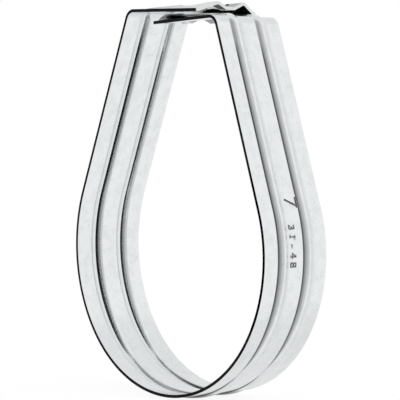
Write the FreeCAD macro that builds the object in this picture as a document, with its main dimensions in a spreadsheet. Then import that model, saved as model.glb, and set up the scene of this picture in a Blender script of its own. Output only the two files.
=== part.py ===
"""Sprinkler pipe clamp: one strip of galvanised sheet with two pressed beads, bent into a pear-shaped loop.

The pipe lies in the round bottom of the loop. At the top the two ends of the strip are folded inwards and
overlap, and the hanging rod goes down through one round hole in both.

Frame, millimetres: the origin is the centre of the pipe, Y runs along the pipe, +Z points up the rod, and the
limb that carries the upper flap is on the -X side. The band is drawn on the middle of the sheet's thickness.
"""
import FreeCAD, Part
import math
import os
import Sketcher

SIZES = {
    # the strip and its two beads
    "sheet_thickness": 0.75,
    "strip_width": 20.0,
    "bead_spacing": 8.15,
    "bead_shift": 0.15,
    "bead_width": 4.0,
    "bead_height": 0.6,
    "bead_foot_radius": 0.7,
    "bead_crest_radius": 1.0,
    "fold_bead_height": 0.4,
    "bead_fade_length": 9.0,
    # the loop, radii to the inner face, angles in degrees
    "seat_radius": 32.1,
    "seat_half_angle": 57.0,
    "left_side_radius": 36.16,
    "right_side_radius": 34.79,
    "left_lean": 21.3,
    "right_lean": 18.05,
    # the folds and the flaps
    "left_fold_radius": 2.2,
    "right_fold_radius": 2.1,
    "upper_end_height": 58.58,
    "upper_droop": 1.5,
    "lower_droop": 2.5,
    "flap_step": 1.8,
    "rod_hole_diameter": 11.0,
    "rod_hole_offset": 3.0,
    "rod_hole_web": 1.93,
    # the free end of the upper flap, a wave across the strip
    "upper_far_edge_drawn_in": 0.7,
    "upper_middle_lift": 0.65,
    "upper_far_lift": -0.35,
    "upper_near_margin": 0.6,
    "upper_near_crest": 3.0,
    "upper_near_height": 1.87,
    "upper_valley_start": 0.0,
    "upper_valley_end": 2.2,
    "upper_far_crest": 5.3,
    "upper_far_height": 1.85,
    "upper_far_margin": 1.1,
    "upper_crest_radius": 1.0,
    "upper_foot_radius": 0.9,
    # the free end of the lower flap, whose beads are spread
    "lower_outer_margin": 1.2,
    "lower_inner_foot": 0.3,
    "lower_crest": 4.5,
    "lower_height": 2.0,
    "lower_crest_radius": 4.8,
    "lower_foot_radius": 0.5,
}
SHEET = "Sizes"
FADE_STEPS = (0.0, 1 / 3, 2 / 3, 1.0)


class Size:
    """A length or an angle: its number, and the sheet expression that gives the same number."""

    def __init__(self, number, text=None):
        self.number = float(number)
        self.text = text if text is not None else repr(float(number))

    def __add__(self, other):
        other = as_size(other)
        return Size(self.number + other.number, f"({self.text} + {other.text})")

    def __sub__(self, other):
        other = as_size(other)
        return Size(self.number - other.number, f"({self.text} - {other.text})")

    def __mul__(self, other):
        other = as_size(other)
        return Size(self.number * other.number, f"({self.text} * {other.text})")

    def __truediv__(self, other):
        other = as_size(other)
        return Size(self.number / other.number, f"({self.text} / {other.text})")

    def __neg__(self):
        return Size(-self.number, f"(0 - {self.text})")


def as_size(value):
    return value if isinstance(value, Size) else Size(value)


def size(name):
    """A driving size, read from the sheet by its name."""
    return Size(SIZES[name], f"{SHEET}.{name}")


def make_sheet(doc):
    """The sheet of driving sizes, one named cell each."""
    sheet = doc.addObject("Spreadsheet::Sheet", SHEET)
    for row, (name, value) in enumerate(SIZES.items(), start=1):
        sheet.set(f"A{row}", name)
        sheet.set(f"B{row}", str(value))
        sheet.setAlias(f"B{row}", name)
    doc.recompute()
    return sheet


class Outline:
    """A sketch that is drawn at its true size, then held there by named constraints."""

    def __init__(self, body, name, support, mode, along=0.0):
        self.sketch = body.newObject("Sketcher::SketchObject", name)
        self.sketch.AttachmentSupport = [support]
        self.sketch.MapMode = mode
        self.sketch.MapPathParameter = along

    def line(self, start, end):
        segment = Part.LineSegment(FreeCAD.Vector(*start, 0), FreeCAD.Vector(*end, 0))
        return self.sketch.addGeometry(segment, False)

    def arc(self, centre, radius, first, last):
        """An arc run counter-clockwise between two of its points."""
        circle = Part.Circle(FreeCAD.Vector(*centre, 0), FreeCAD.Vector(0, 0, 1), radius)
        angles = [math.atan2(p[1] - centre[1], p[0] - centre[0]) for p in (first, last)]
        return self.sketch.addGeometry(Part.ArcOfCircle(circle, *angles), False)

    def circle(self, centre, radius):
        circle = Part.Circle(FreeCAD.Vector(*centre, 0), FreeCAD.Vector(0, 0, 1), radius)
        return self.sketch.addGeometry(circle, False)

    def hold(self, kind, *items):
        return self.sketch.addConstraint(Sketcher.Constraint(kind, *items))

    def drive(self, name, value, kind, *items):
        """A constraint with a value, bound to the sheet."""
        number = math.radians(value.number) if kind == "Angle" else value.number
        index = self.sketch.addConstraint(Sketcher.Constraint(kind, *items, number))
        self.sketch.renameConstraint(index, name)
        self.sketch.setExpression(f"Constraints.{name}", value.text)


# positions of a piece of sketch geometry, and the sketch's own origin and axes
START, END, CENTRE = 1, 2, 3
ORIGIN = (-1, 1)


def polar(angle_degrees):
    """A unit vector in the loop's plane, its angle counted from +X towards +Z."""
    turn = math.radians(angle_degrees)
    return (math.cos(turn), math.sin(turn))


def moved(point, direction, distance):
    return (point[0] + direction[0] * distance, point[1] + direction[1] * distance)


def crossing(point_a, along_a, point_b, along_b):
    """Where two lines of the loop's plane cross."""
    span = (point_b[0] - point_a[0], point_b[1] - point_a[1])
    slant = along_a[0] * along_b[1] - along_a[1] * along_b[0]
    return moved(point_a, along_a, (span[0] * along_b[1] - span[1] * along_b[0]) / slant)


def flap_ends():
    """Where the flaps end: past the rod hole by the web, the lower one a step below the upper one."""
    reach = size("rod_hole_diameter") / 2 + size("rod_hole_web")
    lower_z = size("upper_end_height") - size("sheet_thickness") - size("flap_step")
    return {
        "upper_x": size("rod_hole_offset") + reach,
        "lower_x": size("rod_hole_offset") - reach,
        "lower_z": lower_z,
    }


def loop_points():
    """The corners and centres of the band's line, from the upper flap's end round to the lower flap's end."""
    half = SIZES["sheet_thickness"] / 2
    ends = flap_ends()
    seat = SIZES["seat_radius"] + half
    seat_centre = (0.0, 0.0)
    points = {"seat_centre": seat_centre}

    def limb(side, lean, side_radius, fold_radius, flap_point, flap_along):
        """One side of the loop, from the seat up to its flap; side is -1 for left and 1 for right."""
        join = polar(-90 + side * SIZES["seat_half_angle"])
        radius = side_radius + half
        join_point = moved(seat_centre, join, seat)
        side_centre = moved(join_point, join, -radius)
        outward = polar(90 - side * (90 - lean))
        top = moved(side_centre, outward, radius)
        upward = (-side * outward[1], side * outward[0])
        corner = crossing(top, upward, flap_point, flap_along)
        turn = math.acos(upward[0] * flap_along[0] + upward[1] * flap_along[1])
        fold = fold_radius + half
        setback = fold * math.tan(turn / 2)
        fold_start = moved(corner, upward, -setback)
        points[side] = {
            "join": join_point,
            "side_centre": side_centre,
            "side_radius": radius,
            "top": top,
            "fade": moved(fold_start, upward, -SIZES["bead_fade_length"]),
            "fold_start": fold_start,
            "fold_end": moved(corner, flap_along, setback),
            "fold_centre": moved(fold_start, outward, -fold),
            "fold_radius": fold,
        }

    upper_end = (ends["upper_x"].number, SIZES["upper_end_height"])
    lower_end = (ends["lower_x"].number, ends["lower_z"].number)
    limb(-1, SIZES["left_lean"], SIZES["left_side_radius"], SIZES["left_fold_radius"], upper_end,
         polar(-SIZES["upper_droop"]))
    limb(1, SIZES["right_lean"], SIZES["right_side_radius"], SIZES["right_fold_radius"], lower_end,
         polar(180 + SIZES["lower_droop"]))
    points["upper_end"] = upper_end
    points["lower_end"] = lower_end
    return points


# the pieces of the band's line, numbered as they are drawn
(UPPER_FLAP, LEFT_FOLD, LEFT_FADE, LEFT_LIMB, LEFT_SIDE, SEAT,
 RIGHT_SIDE, RIGHT_LIMB, RIGHT_FADE, RIGHT_FOLD, LOWER_FLAP) = range(11)


def draw_loop(body, plane):
    """The band's line in the loop's plane: straight flaps and limbs, and arcs between them."""
    points = loop_points()
    left, right = points[-1], points[1]
    outline = Outline(body, "loop_line", (plane, ""), "FlatFace")
    outline.line(points["upper_end"], left["fold_end"])
    outline.arc(left["fold_centre"], left["fold_radius"], left["fold_end"], left["fold_start"])
    outline.line(left["fold_start"], left["fade"])
    outline.line(left["fade"], left["top"])
    outline.arc(left["side_centre"], left["side_radius"], left["top"], left["join"])
    outline.arc(points["seat_centre"], SIZES["seat_radius"] + SIZES["sheet_thickness"] / 2,
                left["join"], right["join"])
    outline.arc(right["side_centre"], right["side_radius"], right["join"], right["top"])
    outline.line(right["top"], right["fade"])
    outline.line(right["fade"], right["fold_start"])
    outline.arc(right["fold_centre"], right["fold_radius"], right["fold_start"], right["fold_end"])
    outline.line(right["fold_end"], points["lower_end"])
    for piece in range(UPPER_FLAP, LOWER_FLAP):
        outline.hold("Tangent", piece, END, piece + 1, START)

    half = size("sheet_thickness") / 2
    ends = flap_ends()
    outline.drive("upper_droop", size("upper_droop"), "Angle", UPPER_FLAP, END, -1, START)
    outline.drive("upper_end_x", ends["upper_x"], "DistanceX", *ORIGIN, UPPER_FLAP, START)
    outline.drive("upper_end_z", size("upper_end_height"), "DistanceY", *ORIGIN, UPPER_FLAP, START)
    outline.drive("left_fold", size("left_fold_radius") + half, "Radius", LEFT_FOLD)
    outline.drive("left_fade", size("bead_fade_length"), "Distance", LEFT_FADE)
    outline.drive("left_lean", size("left_lean"), "Angle", LEFT_LIMB, END, -2, START)
    outline.drive("left_side", size("left_side_radius") + half, "Radius", LEFT_SIDE)
    outline.drive("seat", size("seat_radius") + half, "Radius", SEAT)
    outline.hold("Coincident", SEAT, CENTRE, *ORIGIN)
    outline.hold("Horizontal", SEAT, START, SEAT, END)
    outline.drive("seat_angle", size("seat_half_angle") * 2, "Angle", SEAT)
    outline.drive("right_side", size("right_side_radius") + half, "Radius", RIGHT_SIDE)
    outline.drive("right_lean", size("right_lean"), "Angle", -2, START, RIGHT_LIMB, START)
    outline.drive("right_fade", size("bead_fade_length"), "Distance", RIGHT_FADE)
    outline.drive("right_fold", size("right_fold_radius") + half, "Radius", RIGHT_FOLD)
    outline.drive("lower_droop", size("lower_droop"), "Angle", -1, START, LOWER_FLAP, END)
    outline.drive("lower_end_x", ends["lower_x"], "DistanceX", *ORIGIN, LOWER_FLAP, END)
    outline.drive("lower_end_z", ends["lower_z"], "DistanceY", *ORIGIN, LOWER_FLAP, END)
    return outline.sketch


def even_beads(height):
    """Across the strip: both beads alike."""
    half_width = size("bead_width") / 2
    half_spacing = size("bead_spacing") / 2
    bead = {"height": height, "crest_radius": size("bead_crest_radius"), "foot_radius": size("bead_foot_radius")}
    crests = (size("bead_shift") - half_spacing, size("bead_shift") + half_spacing)
    return {
        "far_edge": size("strip_width") / 2,
        "levels": (Size(0), Size(0), Size(0)),
        "beads": [dict(bead, start=crest - half_width, crest=crest, end=crest + half_width) for crest in crests],
    }


def upper_end_wave():
    """Across the upper flap's end: two uneven humps with hardly a flat beside them, the far edge turned down."""
    half = size("strip_width") / 2
    hump = {"crest_radius": size("upper_crest_radius"), "foot_radius": size("upper_foot_radius")}
    return {
        "far_edge": half - size("upper_far_edge_drawn_in"),
        "levels": (Size(0), size("upper_middle_lift"), size("upper_far_lift")),
        "beads": (
            dict(hump, start=size("upper_near_margin") - half, crest=-size("upper_near_crest"),
                 end=-size("upper_valley_start"), height=size("upper_near_height")),
            dict(hump, start=size("upper_valley_end"), crest=size("upper_far_crest"),
                 end=half - size("upper_far_margin"), height=size("upper_far_height")),
        ),
    }


def lower_end_wave():
    """Across the lower flap's end: both beads spread to nearly the whole width."""
    hump = {"height": size("lower_height"), "crest_radius": size("lower_crest_radius"),
            "foot_radius": size("lower_foot_radius")}
    half = size("strip_width") / 2
    outer, crest, inner = half - size("lower_outer_margin"), size("lower_crest"), size("lower_inner_foot")
    return {
        "far_edge": half,
        "levels": (Size(0), Size(0), Size(0)),
        "beads": (dict(hump, start=-outer, crest=-crest, end=-inner),
                  dict(hump, start=inner, crest=crest, end=outer)),
    }


def bead_side(bead, level, foot, outward):
    """One side of a bead on the middle of the sheet: the foot's centre and the direction square to its flank."""
    foot_radius, crest_radius = bead["foot_radius"].number, bead["crest_radius"].number
    foot_centre = (foot.number, level.number + foot_radius)
    crest_centre = (bead["crest"].number, bead["height"].number - crest_radius)
    run = (foot_centre[0] - crest_centre[0]) * outward
    rise = crest_centre[1] - foot_centre[1]
    slope = math.atan2(rise, run) + math.asin((foot_radius + crest_radius) / math.hypot(run, rise))
    return foot_centre, crest_centre, (outward * math.sin(slope), math.cos(slope))


def draw_section(body, name, loop, piece, along, form):
    """The sheet's section, drawn square to the band's line: flat, bead, flat, bead, flat, one sheet thick."""
    outline = Outline(body, name, (loop, f"Edge{piece + 1}"), "NormalToEdge", along)
    half = SIZES["sheet_thickness"] / 2
    near_edge, far_edge = -(size("strip_width") / 2), form["far_edge"]
    levels, beads = form["levels"], form["beads"]

    def skin(offset):
        """One face of the sheet, from the near edge to the far edge; gives its thirteen pieces."""
        pieces = []
        here = (near_edge.number, levels[0].number + offset)
        for bead, before, after in zip(beads, levels, levels[1:]):
            foot_radius = bead["foot_radius"].number - offset
            crest_radius = bead["crest_radius"].number + offset
            corners = []
            for level, foot, outward in ((before, bead["start"], -1), (after, bead["end"], 1)):
                foot_centre, crest_centre, square = bead_side(bead, level, foot, outward)
                corners.append((foot_centre, (foot.number, level.number + offset),
                                moved(foot_centre, square, -foot_radius),
                                moved(crest_centre, square, crest_radius)))
            (first_centre, first, first_low, first_high), (last_centre, last, last_low, last_high) = corners
            pieces.append(outline.line(here, first))
            pieces.append(outline.arc(first_centre, foot_radius, first, first_low))
            pieces.append(outline.line(first_low, first_high))
            pieces.append(outline.arc(crest_centre, crest_radius, last_high, first_high))
            pieces.append(outline.line(last_high, last_low))
            pieces.append(outline.arc(last_centre, foot_radius, last_low, last))
            here = last
        pieces.append(outline.line(here, (far_edge.number, levels[2].number + offset)))
        return pieces

    outer, inner = skin(half), skin(-half)
    for skin_pieces in (outer, inner):
        for first in (0, 6):
            flat, foot, flank, crest, last_flank, last_foot, next_flat = skin_pieces[first:first + 7]
            outline.hold("Tangent", flat, END, foot, START)
            outline.hold("Tangent", foot, END, flank, START)
            outline.hold("Tangent", flank, END, crest, END)
            outline.hold("Tangent", crest, START, last_flank, START)
            outline.hold("Tangent", last_flank, END, last_foot, START)
            outline.hold("Tangent", last_foot, END, next_flat, START)
        for flat in skin_pieces[0::6]:
            outline.hold("Horizontal", flat)
    near = outline.line((near_edge.number, levels[0].number + half), (near_edge.number, levels[0].number - half))
    far = outline.line((far_edge.number, levels[2].number + half), (far_edge.number, levels[2].number - half))
    for rim, flats, end in ((near, (outer[0], inner[0]), START), (far, (outer[12], inner[12]), END)):
        outline.hold("Coincident", rim, START, flats[0], end)
        outline.hold("Coincident", rim, END, flats[1], end)
        outline.hold("Vertical", rim)
    for arc in (1, 3, 5, 7, 9, 11):
        outline.hold("Coincident", outer[arc], CENTRE, inner[arc], CENTRE)

    thickness = size("sheet_thickness")
    outline.drive("near_edge", near_edge, "DistanceX", *ORIGIN, outer[0], START)
    outline.drive("far_edge", far_edge, "DistanceX", *ORIGIN, outer[12], END)
    for number, level in enumerate(levels):
        flat, under = outer[6 * number], inner[6 * number]
        outline.drive(f"level_{number}", level + thickness / 2, "DistanceY", *ORIGIN, flat, START)
        outline.drive(f"thickness_{number}", thickness, "DistanceY", under, START, flat, START)
    for number, bead in enumerate(beads):
        start, crest, end = (outer[6 * number + step] for step in (1, 3, 5))
        radius = bead["crest_radius"]
        outline.drive(f"start_{number}", bead["start"], "DistanceX", *ORIGIN, start, START)
        outline.drive(f"end_{number}", bead["end"], "DistanceX", *ORIGIN, end, END)
        outline.drive(f"crest_{number}", bead["crest"], "DistanceX", *ORIGIN, crest, CENTRE)
        outline.drive(f"depth_{number}", bead["height"] - radius, "DistanceY", *ORIGIN, crest, CENTRE)
        outline.drive(f"outside_{number}", radius + thickness / 2, "Radius", crest)
        outline.drive(f"inside_{number}", radius - thickness / 2, "Radius", inner[6 * number + 3])
        for word, foot in (("start", start), ("end", end)):
            outline.drive(f"{word}_foot_{number}", bead["foot_radius"] - thickness / 2, "Radius", foot)
    return outline.sketch


def bead_fade(step):
    """The bead's height part of the way down from a fold, level at both ends of the fade."""
    share = step * step * (3 - 2 * step)
    low, full = size("fold_bead_height"), size("bead_height")
    return low + (full - low) * share


def add_pipe(body, name, section, loop, pieces):
    """The section carried along some pieces of the band's line."""
    pipe = body.newObject("PartDesign::AdditivePipe", name)
    pipe.Profile = section
    pipe.Spine = (loop, [f"Edge{piece + 1}" for piece in pieces])
    return pipe


def add_loft(body, name, sections):
    """The sheet carried through several sections in a row."""
    loft = body.newObject("PartDesign::AdditiveLoft", name)
    loft.Profile = sections[0]
    loft.Sections = sections[1:]
    return loft


def make_band(doc):
    """The whole clamp: one strip, folded."""
    body = doc.addObject("PartDesign::Body", "clamp_band")
    body.Label = "clamp_band"
    doc.recompute()
    planes = {feature.Role: feature for feature in body.Origin.OriginFeatures}
    loop = draw_loop(body, planes["XZ_Plane"])
    doc.recompute()

    def section(name, piece, along, form):
        return draw_section(body, name, loop, piece, along, form)

    low = even_beads(size("fold_bead_height"))
    left_fade = [section(f"left_fade_{number}", LEFT_FADE, step, even_beads(bead_fade(step)))
                 for number, step in enumerate(FADE_STEPS)]
    right_fade = [section(f"right_fade_{number}", RIGHT_FADE, 1 - step, even_beads(bead_fade(step)))
                  for number, step in enumerate(FADE_STEPS)]
    upper_flap = [section("upper_flap_root", UPPER_FLAP, 1.0, low),
                  section("upper_flap_end", UPPER_FLAP, 0.0, upper_end_wave())]
    lower_flap = [section("lower_flap_root", LOWER_FLAP, 0.0, low),
                  section("lower_flap_end", LOWER_FLAP, 1.0, lower_end_wave())]
    doc.recompute()

    add_pipe(body, "loop", left_fade[-1], loop, (LEFT_LIMB, LEFT_SIDE, SEAT, RIGHT_SIDE, RIGHT_LIMB))
    add_loft(body, "left_limb_top", left_fade)
    add_pipe(body, "left_fold", left_fade[0], loop, (LEFT_FOLD,))
    add_loft(body, "upper_flap", upper_flap)
    add_loft(body, "right_limb_top", right_fade)
    add_pipe(body, "right_fold", right_fade[0], loop, (RIGHT_FOLD,))
    add_loft(body, "lower_flap", lower_flap)
    doc.recompute()

    whole = body.Shape.Volume
    hole = Outline(body, "rod_hole_outline", (planes["XY_Plane"], ""), "FlatFace")
    circle = hole.circle((SIZES["rod_hole_offset"], 0), SIZES["rod_hole_diameter"] / 2)
    hole.drive("diameter", size("rod_hole_diameter"), "Diameter", circle)
    hole.drive("offset", size("rod_hole_offset"), "DistanceX", *ORIGIN, circle, CENTRE)
    hole.hold("PointOnObject", circle, CENTRE, -1)
    pocket = body.newObject("PartDesign::Pocket", "rod_hole")
    pocket.Profile = hole.sketch
    pocket.Type = 1
    pocket.Reversed = True
    doc.recompute()
    return body, whole


def check_document(doc):
    """Stops if any object failed, or if a sketch isn't fully held."""
    for item in doc.Objects:
        if {"Invalid", "Error"} & set(item.State):
            raise RuntimeError(f"{item.Name}: {item.State}")
        if item.TypeId == "Sketcher::SketchObject" and item.solve() != 0:
            raise RuntimeError(f"{item.Name} can't be solved")


def check_band(body, whole):
    """Stops unless the band is one valid solid, and the rod hole took two round plates out of it."""
    shape = body.Shape
    if shape.isNull() or not shape.isValid() or len(shape.Solids) != 1:
        raise RuntimeError(f"{body.Label} isn't one valid solid")
    plate = math.pi / 4 * SIZES["rod_hole_diameter"] ** 2 * SIZES["sheet_thickness"]
    removed = whole - shape.Volume
    if not 1.5 * plate < removed < 3 * plate:
        raise RuntimeError(f"the rod hole took {removed:.1f} mm3 out of the flaps")


def main():
    doc = FreeCAD.newDocument("pipe_clamp")
    make_sheet(doc)
    body, whole = make_band(doc)
    check_document(doc)
    check_band(body, whole)
    os.makedirs("parts", exist_ok=True)
    body.Shape.exportStep(f"parts/{body.Label}.step")
    box = body.Shape.BoundBox
    print(f"{body.Label}: {body.Shape.Volume:.1f} mm3, {len(body.Shape.Faces)} faces, "
          f"{box.XMin:.2f} {box.YMin:.2f} {box.ZMin:.2f} to {box.XMax:.2f} {box.YMax:.2f} {box.ZMax:.2f}")


main()
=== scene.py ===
"""Sprinkler pipe clamp: one strip of galvanised sheet with two pressed beads, bent into a pear-shaped loop.

The band is shaped here again on the middle of the sheet, finely enough for its small radii to shine as they
should. Then it gets its thickness, its rod hole, its broken edges and its stamped marks.
Lengths are in metres. Y runs along the pipe, +Z points up the hanging rod.
"""

import math

import bmesh
import bpy
from bpy.props import FloatProperty, FloatVectorProperty, PointerProperty, StringProperty
from mathutils import Matrix, Vector
from mathutils.geometry import intersect_line_line


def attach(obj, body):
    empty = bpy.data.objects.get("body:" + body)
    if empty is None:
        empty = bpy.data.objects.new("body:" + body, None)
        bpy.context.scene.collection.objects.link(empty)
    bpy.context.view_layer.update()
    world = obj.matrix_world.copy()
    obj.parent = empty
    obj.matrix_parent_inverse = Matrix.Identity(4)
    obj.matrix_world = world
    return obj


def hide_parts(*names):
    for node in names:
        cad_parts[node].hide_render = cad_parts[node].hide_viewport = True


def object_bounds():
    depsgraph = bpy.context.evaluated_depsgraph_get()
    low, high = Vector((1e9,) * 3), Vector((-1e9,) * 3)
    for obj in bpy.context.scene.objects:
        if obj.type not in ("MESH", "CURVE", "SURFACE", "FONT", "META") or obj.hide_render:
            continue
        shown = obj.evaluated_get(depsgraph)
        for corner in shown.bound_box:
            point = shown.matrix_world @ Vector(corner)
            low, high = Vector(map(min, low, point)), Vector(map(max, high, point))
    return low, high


bl_info = {
    "name": "Pipe clamp",
    "version": (1, 0, 0),
    "blender": (4, 5, 0),
    "location": "View3D > Sidebar > Pipe clamp",
    "description": "A pear-shaped loop of beaded galvanised strip, its finishes and its studio",
    "category": "Object",
}

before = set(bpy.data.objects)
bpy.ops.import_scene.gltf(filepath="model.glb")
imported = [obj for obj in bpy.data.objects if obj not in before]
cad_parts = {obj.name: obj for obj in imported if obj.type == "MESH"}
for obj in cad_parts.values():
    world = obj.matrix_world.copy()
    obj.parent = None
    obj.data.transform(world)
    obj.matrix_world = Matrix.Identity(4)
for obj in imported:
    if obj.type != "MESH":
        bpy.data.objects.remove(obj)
cad_box = [list(corner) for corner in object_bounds()]
MM = 0.001
ACROSS = Vector((0, 1, 0))
UPRIGHT = math.pi / 2
FACE, END, SLIT, STAMP = range(4)  # the band's material slots
MIX_FIRST, MIX_SECOND, MIX_RESULT = 6, 7, 2  # a Mix node's colour sockets

# how finely the band is cut up
FLAT_STEPS, FLANK_STEPS, SHARP_STEPS, WIDE_STEPS = 4, 2, 6, 12  # across the strip
FLAP_CUTS, FOLD_STEPS, FADE_STEPS, LIMB_STEPS, SIDE_STEPS, SEAT_STEPS = 15, 22, 8, 6, 40, 80  # along it
HOLE_SEGMENTS = 128
HOLE_CUTTER = 20 * MM  # long enough for both flaps
WELD = 0.001 * MM  # points of a letter that are nearer than this are one

SLIT_FACING = 0.7  # a rim face that looks along the pipe by more than this lies on a long edge
BROKEN_CORNER = math.radians(55)  # edges that turn by more than this are broken

# the zinc's specks and grains to the length of one cloud, and how much the grain dulls it
SPECKS, GRAINS, GRAIN_AMOUNT = 3.6, 14, 0.25

# the black flag stands upright before the strip's near edge and faces along X
FLAG_PLACE, FLAG_HEIGHT, FLAG_DEPTH = Vector((27, -19, 10)) * MM, 110 * MM, 15 * MM
FLOOR_HALF = 4
CAMERA_SENSOR, CAMERA_NEAREST = 36, 0.01  # in millimetres, and in metres

# what the metal sees round the horizon: degrees from straight in front, towards +X, and grey
STUDIO_WALLS = ((-180, 0.85), (-130, 0.85), (-122, 0.3), (-115, 0.01), (-72, 0.01), (-60, 0.95), (45, 0.95),
                (54, 0.02), (72, 0.005), (77, 0.12), (82, 0.36), (94, 0.42), (101, 0.58), (120, 0.69),
                (128, 0.95), (141, 0.97), (152, 0.86), (180, 0.85))


def length(name, text, millimetres):
    """A size in the panel, given here in millimetres."""
    return FloatProperty(name=name, description=text, default=millimetres * MM, unit="LENGTH", precision=5)


def angle(name, text, degrees):
    """An angle in the panel, given here in degrees."""
    return FloatProperty(name=name, description=text, default=math.radians(degrees), subtype="ANGLE")


def colour(name, text, red, green, blue):
    """A linear colour in the panel."""
    return FloatVectorProperty(name=name, description=text, default=(red, green, blue), size=3,
                               subtype="COLOR", min=0, max=1)


def share(name, text, value):
    """A share from 0 to 1 in the panel."""
    return FloatProperty(name=name, description=text, default=value, min=0, max=1, subtype="FACTOR")


class ClampLoop(bpy.types.PropertyGroup):
    """The line that the strip follows round the pipe and up to the rod."""
    seat_radius: length("Seat radius", "Inner face of the round bottom", 32.1)
    seat_half: angle("Seat half angle", "How far the bottom's own radius reaches to each side", 57)
    left_side: length("Left side radius", "Inner face, from the seat up to the limb", 36.16)
    right_side: length("Right side radius", "Inner face, from the seat up to the limb", 34.79)
    left_lean: angle("Left lean", "The straight limb from upright", 21.3)
    right_lean: angle("Right lean", "The straight limb from upright", 18.05)
    left_fold: length("Left fold radius", "Inner face of the fold into the upper flap", 2.2)
    right_fold: length("Right fold radius", "Inner face of the fold into the lower flap", 2.1)
    upper_x: length("Upper flap end", "From the pipe's middle plane", 10.43)
    upper_z: length("Upper flap height", "At its end, above the pipe's centre", 58.58)
    upper_droop: angle("Upper flap droop", "The flap from level", 1.5)
    lower_x: length("Lower flap end", "From the pipe's middle plane", -4.43)
    lower_z: length("Lower flap height", "At its end, above the pipe's centre", 56.03)
    lower_droop: angle("Lower flap droop", "The flap from level", 2.5)
    hole_offset: length("Rod hole offset", "The hole's centre from the pipe's middle plane", 3)
    hole_diameter: length("Rod hole", "Diameter", 11)


class ClampStrip(bpy.types.PropertyGroup):
    """The strip, its two beads, and how the beads open out at the ends of the flaps."""
    thickness: length("Sheet thickness", "Zinc coating included", 0.75)
    width: length("Strip width", "Along the pipe", 20)
    spacing: length("Bead spacing", "Between the two crests", 8.15)
    shift: length("Bead shift", "Both beads away from the near edge", 0.15)
    bead_width: length("Bead width", "Foot to foot", 4)
    bead_height: length("Bead height", "Pressed outwards", 0.6)
    sharp_radius: length("Sharp bend", "A bead's near foot and the far side of its crest, middle of the sheet", 0.55)
    wide_radius: length("Wide bend", "The near side of a bead's crest and its far foot, middle of the sheet", 3.05)
    fold_height: length("Bead height in the folds", "Flattened by the bend", 0.54)
    fade: length("Bead fade", "Where the bead loses height below a fold", 9)
    broken_edge: length("Broken edge", "Rounding left by the shears and the zinc", 0.025)


class ClampFinish(bpy.types.PropertyGroup):
    """Zinc, cut edges and marks."""
    zinc: colour("Zinc", "Bright zinc coating", 0.86, 0.88, 0.885)
    dull_zinc: colour("Dull zinc", "Clouds and specks in the coating", 0.66, 0.69, 0.70)
    wiped_end: colour("Wiped end", "Sheared ends and the rod hole, wiped with zinc", 0.78, 0.79, 0.79)
    # painted shade: the long edges get a near-black colour so that they look dark from every side, though cut steel
    # is grey; their lighter specks are near-black too
    slit_painted_dark: colour("Slit painted dark", "The strip's two long edges, painted near-black shade", 0.008, 0.008, 0.009)
    slit_grain_painted_dark: colour("Slit grain", "Lighter specks on the long edges", 0.03, 0.03, 0.032)
    mark: colour("Mark", "Bottom of a stamped stroke", 0.20, 0.21, 0.21)
    mark_large: StringProperty(name="Large mark", description="Stamped number, generic", default="7")
    mark_small: StringProperty(name="Small marks", description="Stamped numbers, generic", default="31-48")
    large_size: length("Large mark's size", "Of its lettering", 5.7)
    small_size: length("Small marks' size", "Of their lettering", 2.9)
    large_lift: length("Large mark's place", "Up the limb from where its straight begins", 1.8)
    small_lift: length("First small mark's place", "Up the limb from where its straight begins", -4.2)
    small_pitch: length("Small marks' pitch", "From one to the next, down the limb", 2.15)
    small_aside: length("Small marks' shift", "Towards the far edge, from the strip's middle", -1)
    stamp_depth: length("Stamp depth", "How far the strokes go into the sheet", 0.1)


class ClampStudio(bpy.types.PropertyGroup):
    """Camera and light."""
    turn: angle("Camera turn", "From straight in front, about the upright", 47.15)
    tilt: angle("Camera tilt", "Above level", 2.15)
    distance: length("Camera distance", "From the target", 499)
    lens: FloatProperty(name="Lens", description="Focal length in millimetres", default=187.56, min=20, max=400)
    target: FloatVectorProperty(name="Target", description="What the camera points at", size=3, unit="LENGTH",
                                default=(1.03 * MM, 0, 13.82 * MM), precision=5)
    sky: share("Sky", "Strength of the plain white surroundings", 1)
    lamp: FloatProperty(name="Lamp", description="Power of the large soft lamp, in watts", default=1.5, min=0)
    lamp_size: length("Lamp size", "Across its disk", 900)
    lamp_place: FloatVectorProperty(name="Lamp place", description="It points at the origin", size=3, unit="LENGTH",
                                    default=(0.5, 0.6, 1.2))
    floor_glow: share("Floor glow", "How far the paper's own white hides its shadows from the camera", 0.93)


# the band's line

def heading(turn):
    """A unit vector in the loop's plane, its turn counted from +X towards +Z."""
    return Vector((math.cos(turn), 0, math.sin(turn)))


def limb(loop, strip, side):
    """One side of the loop, from the seat to its flap's end; side is -1 for the left and 1 for the right."""
    if side < 0:
        lean, radius, fold = loop.left_lean, loop.left_side, loop.left_fold
        end, along = Vector((loop.upper_x, 0, loop.upper_z)), heading(-loop.upper_droop)
    else:
        lean, radius, fold = loop.right_lean, loop.right_side, loop.right_fold
        end, along = Vector((loop.lower_x, 0, loop.lower_z)), heading(math.pi + loop.lower_droop)
    half = strip.thickness / 2
    radius, fold = radius + half, fold + half
    down = heading(-UPRIGHT + side * loop.seat_half)
    side_centre = down * (loop.seat_radius + half - radius)
    outward = heading(UPRIGHT - side * (UPRIGHT - lean))
    upward = Vector((-side * outward.z, 0, side * outward.x))
    top = side_centre + outward * radius
    corner = intersect_line_line(top, top + upward, end, end + along)[0]
    turn = upward.angle(along)
    setback = fold * math.tan(turn / 2)
    fold_start = corner - upward * setback
    return {"side_centre": side_centre, "side_radius": radius, "side_angle": UPRIGHT - loop.seat_half + lean,
            "top": top, "upward": upward, "fade": fold_start - upward * strip.fade, "fold_start": fold_start,
            "fold_centre": fold_start - outward * fold, "turn": turn,
            "fold_end": corner + along * setback, "along": along, "end": end}


# the section across the strip

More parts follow.
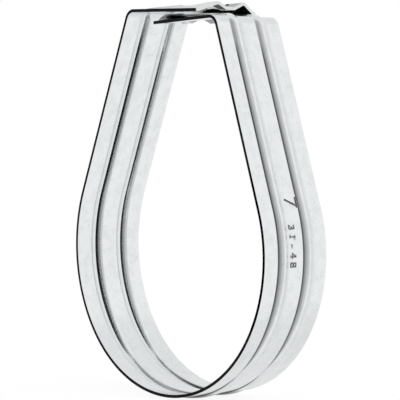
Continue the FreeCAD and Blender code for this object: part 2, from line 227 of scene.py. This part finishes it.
def even_beads(strip, height):
    """The two beads of one height that run along the whole loop, sharp on one side and wide on the other."""
    bead = {"height": height, "near": (strip.sharp_radius, strip.wide_radius),
            "far": (strip.wide_radius, strip.sharp_radius)}
    crests = (strip.shift - strip.spacing / 2, strip.shift + strip.spacing / 2)
    half = strip.bead_width / 2
    return {"near": -strip.width / 2, "far": strip.width / 2, "levels": (0, 0, 0),
            "beads": [dict(bead, start=crest - half, crest=crest, end=crest + half) for crest in crests]}


def upper_end_wave(strip):
    """Two uneven humps with hardly a flat beside them, the far edge turned down."""
    hump = {"near": (0.9 * MM, 1.0 * MM), "far": (0.9 * MM, 1.0 * MM)}
    return {"near": -strip.width / 2, "far": strip.width / 2 - 0.7 * MM, "levels": (0, 0.65 * MM, -0.35 * MM),
            "beads": (dict(hump, start=-9.4 * MM, crest=-3.0 * MM, end=0, height=1.87 * MM),
                      dict(hump, start=2.2 * MM, crest=5.3 * MM, end=8.9 * MM, height=1.85 * MM))}


def lower_end_wave(strip):
    """Both beads spread to nearly the whole width, the far side drawn up a little."""
    hump = {"height": 2.0 * MM, "near": (0.5 * MM, 4.8 * MM), "far": (0.5 * MM, 4.8 * MM)}
    return {"near": -strip.width / 2, "far": strip.width / 2, "levels": (0, 0.35 * MM, 0.7 * MM),
            "beads": (dict(hump, start=-8.8 * MM, crest=-4.5 * MM, end=-0.3 * MM),
                      dict(hump, start=0.3 * MM, crest=4.5 * MM, end=8.8 * MM))}


def flank(bead, side, level, foot):
    """One side of a bead: the centres of its foot and crest, their radii, and the slope of the straight between."""
    foot_radius, crest_radius = bead[side]
    foot_centre = Vector((foot, level + foot_radius, 0))
    crest_centre = Vector((bead["crest"], bead["height"] - crest_radius, 0))
    run = abs(foot_centre.x - crest_centre.x)
    rise = crest_centre.y - foot_centre.y
    slope = math.atan2(rise, run) + math.asin((foot_radius + crest_radius) / math.hypot(run, rise))
    return foot_centre, crest_centre, foot_radius, crest_radius, slope


def straight(bm, end, to, steps):
    """The chain goes straight on; gives its new last point."""
    start = end.co.copy()
    for step in range(1, steps + 1):
        end = bmesh.ops.extrude_vert_indiv(bm, verts=[end])["verts"][0]
        end.co = start.lerp(to, step / steps)
    return end


def curved(bm, end, centre, turn, steps):
    """The chain goes round a centre; gives its new last point."""
    made = bmesh.ops.spin(bm, geom=[end], cent=centre, axis=(0, 0, 1), angle=turn, steps=steps,
                          use_merge=False, use_duplicate=False)
    return [item for item in made["geom_last"] if isinstance(item, bmesh.types.BMVert)][0]


def add_section(bm, form, point, travel):
    """The sheet's middle line, square to the band's line at a point; gives the chain's edges."""
    known = set(bm.verts)
    end = bm.verts.new((form["near"], form["levels"][0], 0))
    for bead, before, after in zip(form["beads"], form["levels"], form["levels"][1:]):
        foot, crest, foot_radius, crest_radius, slope = flank(bead, "near", before, bead["start"])
        square = Vector((-math.sin(slope), math.cos(slope), 0))
        end = straight(bm, end, Vector((bead["start"], before, 0)), FLAT_STEPS)
        end = curved(bm, end, foot, slope, SHARP_STEPS)
        end = straight(bm, end, crest + square * crest_radius, FLANK_STEPS)
        end = curved(bm, end, crest, -slope, WIDE_STEPS)
        foot, crest, foot_radius, crest_radius, slope = flank(bead, "far", after, bead["end"])
        square = Vector((math.sin(slope), math.cos(slope), 0))
        end = curved(bm, end, crest, -slope, SHARP_STEPS)
        end = straight(bm, end, foot - square * foot_radius, FLANK_STEPS)
        end = curved(bm, end, foot, slope, WIDE_STEPS)
    straight(bm, end, Vector((form["far"], form["levels"][-1], 0)), FLAT_STEPS)
    made = [vert for vert in bm.verts if vert not in known]
    outward = Vector((travel.z, 0, -travel.x))
    place = Matrix((ACROSS, outward, ACROSS.cross(outward))).transposed().to_4x4()
    place.translation = point
    bmesh.ops.transform(bm, matrix=place, verts=made)
    return list(dict.fromkeys(edge for vert in made for edge in vert.link_edges))


def bend(bm, chain, centre, turn, steps):
    """The section is carried round a centre of the loop; gives its last place."""
    made = bmesh.ops.spin(bm, geom=chain, cent=centre, axis=-ACROSS, angle=turn, steps=steps,
                          use_merge=False, use_duplicate=False)
    return [item for item in made["geom_last"] if isinstance(item, bmesh.types.BMEdge)]


def carry(bm, chain, way, steps):
    """The section is carried straight on; gives its last place."""
    for _ in range(steps):
        made = bmesh.ops.extrude_edge_only(bm, edges=chain)["geom"]
        verts = [item for item in made if isinstance(item, bmesh.types.BMVert)]
        fresh = set(verts)
        chain = [item for item in made if isinstance(item, bmesh.types.BMEdge) and set(item.verts) <= fresh]
        bmesh.ops.translate(bm, verts=verts, vec=way / steps)
    return chain


def bridge(bm, chain, other, cuts=0):
    """Straight sheet between two sections, cut up along its length."""
    made = bmesh.ops.bridge_loops(bm, edges=chain + other)
    rungs = [edge for edge in made["edges"] if edge not in chain and edge not in other]
    if cuts:
        bmesh.ops.subdivide_edges(bm, edges=rungs, cuts=cuts, use_grid_fill=True)


def fade_height(strip, step):
    """The bead's height part of the way down from a fold, level at both ends of the fade."""
    return strip.fold_height + (strip.bead_height - strip.fold_height) * step * step * (3 - 2 * step)


def fade(bm, chain, strip, start, to, travel, shares):
    """The section goes straight on while its beads grow or shrink; gives its last place."""
    for step, share_down in enumerate(shares, 1):
        form = even_beads(strip, fade_height(strip, share_down))
        following = add_section(bm, form, start.lerp(to, step / FADE_STEPS), travel)
        bridge(bm, chain, following)
        chain = following
    return chain


def add_middle(bm, loop, strip):
    """The middle of the sheet, from the upper flap's end round the pipe to the lower flap's end."""
    left, right = limb(loop, strip, -1), limb(loop, strip, 1)
    shares = [step / FADE_STEPS for step in range(1, FADE_STEPS + 1)]
    first = add_section(bm, upper_end_wave(strip), left["end"], -left["along"])
    chain = add_section(bm, even_beads(strip, strip.fold_height), left["fold_end"], -left["along"])
    bridge(bm, first, chain, FLAP_CUTS)
    chain = bend(bm, chain, left["fold_centre"], left["turn"], FOLD_STEPS)
    chain = fade(bm, chain, strip, left["fold_start"], left["fade"], -left["upward"], shares)
    chain = carry(bm, chain, left["top"] - left["fade"], LIMB_STEPS)
    chain = bend(bm, chain, left["side_centre"], left["side_angle"], SIDE_STEPS)
    chain = bend(bm, chain, Vector(), 2 * loop.seat_half, SEAT_STEPS)
    chain = bend(bm, chain, right["side_centre"], right["side_angle"], SIDE_STEPS)
    chain = carry(bm, chain, right["fade"] - right["top"], LIMB_STEPS)
    chain = fade(bm, chain, strip, right["fade"], right["fold_start"], right["upward"],
                 [1 - share_up for share_up in shares])
    chain = bend(bm, chain, right["fold_centre"], right["turn"], FOLD_STEPS)
    last = add_section(bm, lower_end_wave(strip), right["end"], right["along"])
    bridge(bm, chain, last, FLAP_CUTS)


def put_in_order(bm):
    """Sorts the edges and faces by the numbers of their points, because the operators leave them in any order."""
    bm.verts.index_update()
    count = len(bm.verts)

    def rank(item):
        numbers = [vert.index for vert in item.verts]
        return (min(numbers) * count + max(numbers)) * 4 * count + sum(numbers)

    bm.edges.sort(key=rank)
    bm.faces.sort(key=rank)


def mesh_object(name, bm, materials):
    """An object at the origin with the drawn mesh; the mesh under construction is freed."""
    mesh = bpy.data.meshes.new(name)
    bm.to_mesh(mesh)
    bm.free()
    for material in materials:
        mesh.materials.append(material)
    made = bpy.data.objects.new(name, mesh)
    bpy.context.scene.collection.objects.link(made)
    return made


def baked(made):
    """The object's modifiers, worked into its mesh."""
    graph = bpy.context.evaluated_depsgraph_get()
    mesh = bpy.data.meshes.new_from_object(made.evaluated_get(graph), depsgraph=graph)
    made.modifiers.clear()
    made.data = mesh


def cut_away(made, cutter):
    """The cutter's space is taken out of the object, and the cutter goes."""
    cut = made.modifiers.new("cut", "BOOLEAN")
    cut.object, cut.operation, cut.solver = cutter, "DIFFERENCE", "EXACT"
    cut.material_mode = "INDEX"
    baked(made)
    bpy.data.objects.remove(cutter)


def limb_face(loop, strip, lift):
    """A point of the right limb's outer face in the strip's middle, and its ways up and out.

    The lift counts from where the straight limb meets the round side, up the limb or back down the round.
    """
    right = limb(loop, strip, 1)
    outer = right["side_radius"] + strip.thickness / 2
    outward = heading(loop.right_lean + min(lift, 0) / outer)
    upward = Vector((-outward.z, 0, outward.x))
    return right["side_centre"] + outward * outer + upward * max(lift, 0), upward, outward


def stamp_text(text, size, point, upward, outward, depth, materials):
    """A stamp's tool: one character that reads down the limb, reaching its depth to both sides of the face."""
    curve = bpy.data.curves.new("stamp", "FONT")
    curve.body, curve.size = text, size
    curve.align_x, curve.align_y = "CENTER", "CENTER"
    curve.extrude = depth
    curve.resolution_u = 4
    letter = bpy.data.objects.new("stamp", curve)
    bpy.context.scene.collection.objects.link(letter)
    graph = bpy.context.evaluated_depsgraph_get()
    mesh = bpy.data.meshes.new_from_object(letter.evaluated_get(graph), depsgraph=graph)
    bpy.data.objects.remove(letter)
    place = Matrix((-upward, ACROSS, outward)).transposed().to_4x4()
    place.translation = point
    bm = bmesh.new()
    bm.from_mesh(mesh)
    bmesh.ops.remove_doubles(bm, verts=bm.verts, dist=WELD)
    bmesh.ops.transform(bm, matrix=place, verts=bm.verts)
    bmesh.ops.recalc_face_normals(bm, faces=bm.faces)
    for face in bm.faces:
        face.material_index = STAMP
    return mesh_object("stamp", bm, materials)


# finishes

def new_group(name, inputs, outputs):
    """An empty shader node group with its named sockets, and a helper that adds nodes to it."""
    group = bpy.data.node_groups.new(name, "ShaderNodeTree")
    for socket, kind, value in inputs:
        made = group.interface.new_socket(socket, in_out="INPUT", socket_type=kind)
        if value is not None:
            made.default_value = value
    for socket, kind in outputs:
        group.interface.new_socket(socket, in_out="OUTPUT", socket_type=kind)
    return group, group.nodes.new("NodeGroupInput"), group.nodes.new("NodeGroupOutput")


def ramp(nodes, low, high):
    """A value stretched from low..high to 0..1, softly; the other way round where low is the higher."""
    made = nodes.new("ShaderNodeMapRange")
    made.interpolation_type = "SMOOTHSTEP"
    made.inputs["From Min"].default_value = low
    made.inputs["From Max"].default_value = high
    return made


def zinc_and_gap_shade_group():
    """Zinc's soft clouds of spangle, sparse specks and a fine grain, and painted shade: colour darkened towards black
    in the tight gaps.
    """
    # the group paints the gap shade as well as the coating
    group, inward, outward = new_group("zinc coating", (
        ("Vector", "NodeSocketVector", None),
        ("Bright", "NodeSocketColor", (0.8, 0.8, 0.8, 1)),
        ("Dull", "NodeSocketColor", (0.6, 0.6, 0.6, 1)),
        ("Cloud Scale", "NodeSocketFloat", 300.0),
        ("Cloud Amount", "NodeSocketFloat", 0.3),
        ("Speck Amount", "NodeSocketFloat", 0.5),
        ("Smooth", "NodeSocketFloat", 0.3),
        ("Rough", "NodeSocketFloat", 0.5),
        # how near the sheet must close in for the painted shade, and how dark that painted shade gets
        ("Gap Width", "NodeSocketFloat", 0.003),
        ("Painted Gap Shade", "NodeSocketFloat", 0.8),
    ), (("Color", "NodeSocketColor"), ("Roughness", "NodeSocketFloat"), ("Height", "NodeSocketFloat")))
    nodes, links = group.nodes, group.links

    def maths(operation, first, second):
        made = nodes.new("ShaderNodeMath")
        made.operation = operation
        for socket, value in zip(made.inputs, (first, second)):
            if isinstance(value, bpy.types.NodeSocket):
                links.new(value, socket)
            else:
                socket.default_value = value
        return made.outputs[0]

    clouds = nodes.new("ShaderNodeTexNoise")
    clouds.inputs["Detail"].default_value = 4
    clouds.inputs["Roughness"].default_value = 0.6
    links.new(inward.outputs["Vector"], clouds.inputs["Vector"])
    links.new(inward.outputs["Cloud Scale"], clouds.inputs["Scale"])
    cloud = ramp(nodes, low=0.35, high=0.7)
    links.new(clouds.outputs["Fac"], cloud.inputs["Value"])

    specks = nodes.new("ShaderNodeTexVoronoi")
    specks.feature = "F1"
    links.new(inward.outputs["Vector"], specks.inputs["Vector"])
    links.new(maths("MULTIPLY", inward.outputs["Cloud Scale"], SPECKS), specks.inputs["Scale"])
    speck = ramp(nodes, low=0.34, high=0.14)
    links.new(specks.outputs["Distance"], speck.inputs["Value"])
    rare = ramp(nodes, low=0.72, high=0.9)
    parted = nodes.new("ShaderNodeSeparateColor")
    links.new(specks.outputs["Color"], parted.inputs["Color"])
    links.new(parted.outputs["Red"], rare.inputs["Value"])
    spot = maths("MULTIPLY", speck.outputs["Result"], rare.outputs["Result"])

    grain = nodes.new("ShaderNodeTexNoise")
    grain.inputs["Detail"].default_value = 2
    links.new(inward.outputs["Vector"], grain.inputs["Vector"])
    links.new(maths("MULTIPLY", inward.outputs["Cloud Scale"], GRAINS), grain.inputs["Scale"])

    dull = maths("ADD", maths("MULTIPLY", cloud.outputs["Result"], inward.outputs["Cloud Amount"]),
                 maths("MULTIPLY", spot, inward.outputs["Speck Amount"]))
    dull = maths("ADD", dull, maths("MULTIPLY", maths("SUBTRACT", grain.outputs["Fac"], 0.5), GRAIN_AMOUNT))
    mix = nodes.new("ShaderNodeMix")
    mix.data_type, mix.clamp_factor = "RGBA", True
    links.new(dull, mix.inputs[0])
    links.new(inward.outputs["Bright"], mix.inputs[MIX_FIRST])
    links.new(inward.outputs["Dull"], mix.inputs[MIX_SECOND])

    # painted shade: where ambient occlusion finds the sheet close around, between the flaps, in creases and at bead
    # feet, the colour is mixed towards black
    open_to = nodes.new("ShaderNodeAmbientOcclusion")
    open_to.samples = 8
    links.new(inward.outputs["Gap Width"], open_to.inputs["Distance"])
    gap_shade_mask = ramp(nodes, low=0.7, high=0.2)
    links.new(open_to.outputs["AO"], gap_shade_mask.inputs["Value"])
    painted_gap_shade = nodes.new("ShaderNodeMix")
    painted_gap_shade.data_type = "RGBA"
    painted_gap_shade.inputs[MIX_SECOND].default_value = (0, 0, 0, 1)
    links.new(maths("MULTIPLY", gap_shade_mask.outputs["Result"], inward.outputs["Painted Gap Shade"]), painted_gap_shade.inputs[0])
    links.new(mix.outputs[MIX_RESULT], painted_gap_shade.inputs[MIX_FIRST])
    links.new(painted_gap_shade.outputs[MIX_RESULT], outward.inputs["Color"])

    worn = nodes.new("ShaderNodeMapRange")
    links.new(dull, worn.inputs["Value"])
    links.new(inward.outputs["Smooth"], worn.inputs["To Min"])
    links.new(inward.outputs["Rough"], worn.inputs["To Max"])
    links.new(worn.outputs["Result"], outward.inputs["Roughness"])
    height = maths("SUBTRACT", maths("MULTIPLY", grain.outputs["Fac"], 0.5), spot)
    links.new(height, outward.inputs["Height"])
    return group


def metal(name, group, bright, dull, scale, cloud, speck, smooth, rough, relief):
    """A metal finish with the zinc group's colour, painted gap shade included, and its roughness and relief."""
    material = bpy.data.materials.new(name)
    material.use_nodes = True
    nodes, links = material.node_tree.nodes, material.node_tree.links
    shader = nodes["Principled BSDF"]
    shader.inputs["Metallic"].default_value = 1
    place = nodes.new("ShaderNodeTexCoord")
    coating = nodes.new("ShaderNodeGroup")
    coating.node_tree = group
    links.new(place.outputs["Object"], coating.inputs["Vector"])
    for socket, value in (("Bright", (*bright, 1)), ("Dull", (*dull, 1)), ("Cloud Scale", scale),
                          ("Cloud Amount", cloud), ("Speck Amount", speck), ("Smooth", smooth), ("Rough", rough)):
        coating.inputs[socket].default_value = value
    # the group's colour carries the painted gap shade into the base colour
    links.new(coating.outputs["Color"], shader.inputs["Base Color"])
    links.new(coating.outputs["Roughness"], shader.inputs["Roughness"])
    bump = nodes.new("ShaderNodeBump")
    bump.inputs["Strength"].default_value = 0.5
    bump.inputs["Distance"].default_value = relief
    links.new(coating.outputs["Height"], bump.inputs["Height"])
    links.new(bump.outputs["Normal"], shader.inputs["Normal"])
    return material


class OBJECT_OT_clamp_band(bpy.types.Operator):
    """Shapes the folded strip with its beads, flaps, rod hole and stamped marks"""
    bl_idname = "object.clamp_band"
    bl_label = "Clamp band"

    def execute(self, context):
        loop, strip, finish = (getattr(context.scene, name) for name in ("clamp_loop", "clamp_strip", "clamp_finish"))
        group = zinc_and_gap_shade_group()
        materials = (
            metal("galvanised_face", group, finish.zinc, finish.dull_zinc,
                  scale=420, cloud=0.3, speck=0.7, smooth=0.15, rough=0.25, relief=0.004 * MM),
            metal("sheared_end", group, finish.wiped_end, finish.dull_zinc,
                  scale=900, cloud=0.3, speck=0.4, smooth=0.15, rough=0.25, relief=0.002 * MM),
            # painted shade: the long edges' near-black colours
            metal("slit_edge", group, finish.slit_painted_dark, finish.slit_grain_painted_dark,
                  scale=900, cloud=0.2, speck=0.2, smooth=0.3, rough=0.4, relief=0.002 * MM),
            metal("stamped_mark", group, finish.mark, finish.dull_zinc,
                  scale=900, cloud=0.15, speck=0.1, smooth=0.5, rough=0.6, relief=0.002 * MM),
        )
        bm = bmesh.new()
        add_middle(bm, loop, strip)
        bmesh.ops.recalc_face_normals(bm, faces=bm.faces)
        put_in_order(bm)
        for face in bm.faces:
            face.smooth = True
        band = mesh_object("clamp_strip", bm, materials)

        wall = band.modifiers.new("sheet", "SOLIDIFY")
        wall.thickness, wall.offset, wall.use_even_offset = strip.thickness, 0, True
        wall.material_offset_rim = END
        baked(band)
        for face in band.data.polygons:
            if face.material_index == END and abs(face.normal.y) > SLIT_FACING:
                face.material_index = SLIT

        bm = bmesh.new()
        bmesh.ops.create_cone(bm, cap_ends=True, segments=HOLE_SEGMENTS, radius1=loop.hole_diameter / 2,
                              radius2=loop.hole_diameter / 2, depth=HOLE_CUTTER,
                              matrix=Matrix.Translation((loop.hole_offset, 0, loop.upper_z)))
        for face in bm.faces:
            face.material_index = END
            face.smooth = True
        cut_away(band, mesh_object("rod_hole", bm, materials))

        bevel = band.modifiers.new("broken edges", "BEVEL")
        bevel.width, bevel.segments, bevel.limit_method = strip.broken_edge, 2, "ANGLE"
        bevel.angle_limit = BROKEN_CORNER
        baked(band)

        marks = [(finish.mark_large, finish.large_size, strip.shift, finish.large_lift)]
        for number, text in enumerate(finish.mark_small):
            marks.append((text, finish.small_size, finish.small_aside,
                          finish.small_lift - finish.small_pitch * number))
        for text, size, aside, lift in marks:
            point, upward, outward = limb_face(loop, strip, lift)
            cut_away(band, stamp_text(text, size, point + ACROSS * aside, upward, outward,
                                      finish.stamp_depth, materials))

        even = band.modifiers.new("even shading", "WEIGHTED_NORMAL")
        even.keep_sharp = True
        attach(band, "root")
        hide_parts("clamp_band")
        return {"FINISHED"}


def paper(studio):
    """White paper whose shadows stay faint to the camera."""
    material = bpy.data.materials.new("floor_paper")
    material.use_nodes = True
    nodes, links = material.node_tree.nodes, material.node_tree.links
    shader = nodes["Principled BSDF"]
    shader.inputs["Base Color"].default_value = (0.98, 0.98, 0.98, 1)
    shader.inputs["Roughness"].default_value = 0.9
    shader.inputs["Specular IOR Level"].default_value = 0
    ray = nodes.new("ShaderNodeLightPath")
    part = nodes.new("ShaderNodeMath")
    part.operation = "MULTIPLY"
    part.inputs[1].default_value = studio.floor_glow
    links.new(ray.outputs["Is Camera Ray"], part.inputs[0])
    glow = nodes.new("ShaderNodeEmission")
    mix = nodes.new("ShaderNodeMixShader")
    links.new(part.outputs["Value"], mix.inputs["Fac"])
    links.new(shader.outputs["BSDF"], mix.inputs[1])
    links.new(glow.outputs["Emission"], mix.inputs[2])
    links.new(mix.outputs["Shader"], nodes["Material Output"].inputs["Surface"])
    return material


def black_cloth():
    """The studio's flag, which keeps light from one side out of the loop; only the metal sees it."""
    material = bpy.data.materials.new("black_cloth")
    material.use_nodes = True
    shader = material.node_tree.nodes["Principled BSDF"]
    shader.inputs["Base Color"].default_value = (0.005, 0.005, 0.005, 1)
    shader.inputs["Specular IOR Level"].default_value = 0
    return material


def studio_world(studio):
    """Plain white surroundings, in which only the metal sees the studio's walls and the dark gaps between them."""
    world = bpy.data.worlds.new("studio")
    world.use_nodes = True
    nodes, links = world.node_tree.nodes, world.node_tree.links
    place = nodes.new("ShaderNodeTexCoord")
    parted = nodes.new("ShaderNodeSeparateXYZ")
    links.new(place.outputs["Generated"], parted.inputs["Vector"])
    front = nodes.new("ShaderNodeMath")
    front.operation = "MULTIPLY"
    front.inputs[1].default_value = -1
    links.new(parted.outputs["Y"], front.inputs[0])
    azimuth = nodes.new("ShaderNodeMath")
    azimuth.operation = "ARCTAN2"
    links.new(parted.outputs["X"], azimuth.inputs[0])
    links.new(front.outputs["Value"], azimuth.inputs[1])
    spread = nodes.new("ShaderNodeMapRange")
    spread.inputs["From Min"].default_value = -math.pi
    spread.inputs["From Max"].default_value = math.pi
    links.new(azimuth.outputs["Value"], spread.inputs["Value"])
    walls = nodes.new("ShaderNodeValToRGB")
    stops = walls.color_ramp.elements
    for degrees, grey in STUDIO_WALLS[1:-1]:
        stops.new((degrees + 180) / 360).color = (grey, grey, grey, 1)
    for end in (0, -1):
        grey = STUDIO_WALLS[end][1]
        stops[end].color = (grey, grey, grey, 1)
    links.new(spread.outputs["Result"], walls.inputs["Fac"])
    ray = nodes.new("ShaderNodeLightPath")
    seen = nodes.new("ShaderNodeMix")
    seen.data_type = "RGBA"
    seen.inputs[MIX_FIRST].default_value = (1, 1, 1, 1)
    links.new(ray.outputs["Is Glossy Ray"], seen.inputs[0])
    links.new(walls.outputs["Color"], seen.inputs[MIX_SECOND])
    links.new(seen.outputs[MIX_RESULT], nodes["Background"].inputs["Color"])
    nodes["Background"].inputs["Strength"].default_value = studio.sky
    return world


class SCENE_OT_clamp_studio(bpy.types.Operator):
    """Adds the pale floor, the soft light and the camera"""
    bl_idname = "scene.clamp_studio"
    bl_label = "Studio"

    def execute(self, context):
        scene, studio = context.scene, context.scene.clamp_studio
        bm = bmesh.new()
        bmesh.ops.create_grid(bm, x_segments=1, y_segments=1, size=FLOOR_HALF,
                              matrix=Matrix.Translation((0, 0, cad_box[0][2])))
        floor = mesh_object("floor", bm, [paper(studio)])
        floor.visible_glossy = False

        bm = bmesh.new()
        place = Matrix.Translation(FLAG_PLACE) @ Matrix.Rotation(UPRIGHT, 4, "Y")
        bmesh.ops.create_grid(bm, x_segments=1, y_segments=1, size=0.5,
                              matrix=place @ Matrix.Diagonal((FLAG_HEIGHT, FLAG_DEPTH, 1, 1)))
        flag = mesh_object("flag", bm, [black_cloth()])
        flag.visible_camera = flag.visible_diffuse = flag.visible_shadow = False

        lamp = bpy.data.lights.new("soft_lamp", "AREA")
        lamp.shape, lamp.size, lamp.energy = "DISK", studio.lamp_size, studio.lamp
        holder = bpy.data.objects.new("soft_lamp", lamp)
        holder.visible_glossy = False
        holder.location = studio.lamp_place
        holder.rotation_euler = (-holder.location).to_track_quat("-Z", "Y").to_euler()
        scene.collection.objects.link(holder)

        scene.world = studio_world(studio)
        scene.view_settings.view_transform = "Standard"

        camera = bpy.data.cameras.new("camera")
        camera.lens, camera.sensor_width, camera.clip_start = studio.lens, CAMERA_SENSOR, CAMERA_NEAREST
        viewer = bpy.data.objects.new("camera", camera)
        level = math.cos(studio.tilt)
        away = Vector((math.sin(studio.turn) * level, -math.cos(studio.turn) * level, math.sin(studio.tilt)))
        viewer.location = Vector(studio.target) + away * studio.distance
        viewer.rotation_euler = away.to_track_quat("Z", "Y").to_euler()
        scene.collection.objects.link(viewer)
        scene.camera = viewer
        return {"FINISHED"}


class VIEW3D_PT_clamp(bpy.types.Panel):
    """The clamp's pieces, sizes and finishes"""
    bl_idname = "VIEW3D_PT_clamp"
    bl_label = "Pipe clamp"
    bl_space_type = "VIEW_3D"
    bl_region_type = "UI"
    bl_category = "Pipe clamp"

    def draw(self, context):
        for operator in (OBJECT_OT_clamp_band, SCENE_OT_clamp_studio):
            self.layout.operator(operator.bl_idname)
        for name, group in GROUPS.items():
            box = self.layout.box()
            for item in group.__annotations__:
                box.prop(getattr(context.scene, name), item)


GROUPS = {"clamp_loop": ClampLoop, "clamp_strip": ClampStrip, "clamp_finish": ClampFinish,
          "clamp_studio": ClampStudio}
CLASSES = (*GROUPS.values(), OBJECT_OT_clamp_band, SCENE_OT_clamp_studio, VIEW3D_PT_clamp)


def register():
    for cls in CLASSES:
        bpy.utils.register_class(cls)
    for name, group in GROUPS.items():
        setattr(bpy.types.Scene, name, PointerProperty(type=group))


def unregister():
    for name in GROUPS:
        delattr(bpy.types.Scene, name)
    for cls in reversed(CLASSES):
        bpy.utils.unregister_class(cls)


def main():
    register()
    bpy.ops.object.clamp_band()
    bpy.ops.scene.clamp_studio()


if __name__ == "__main__":
    main()
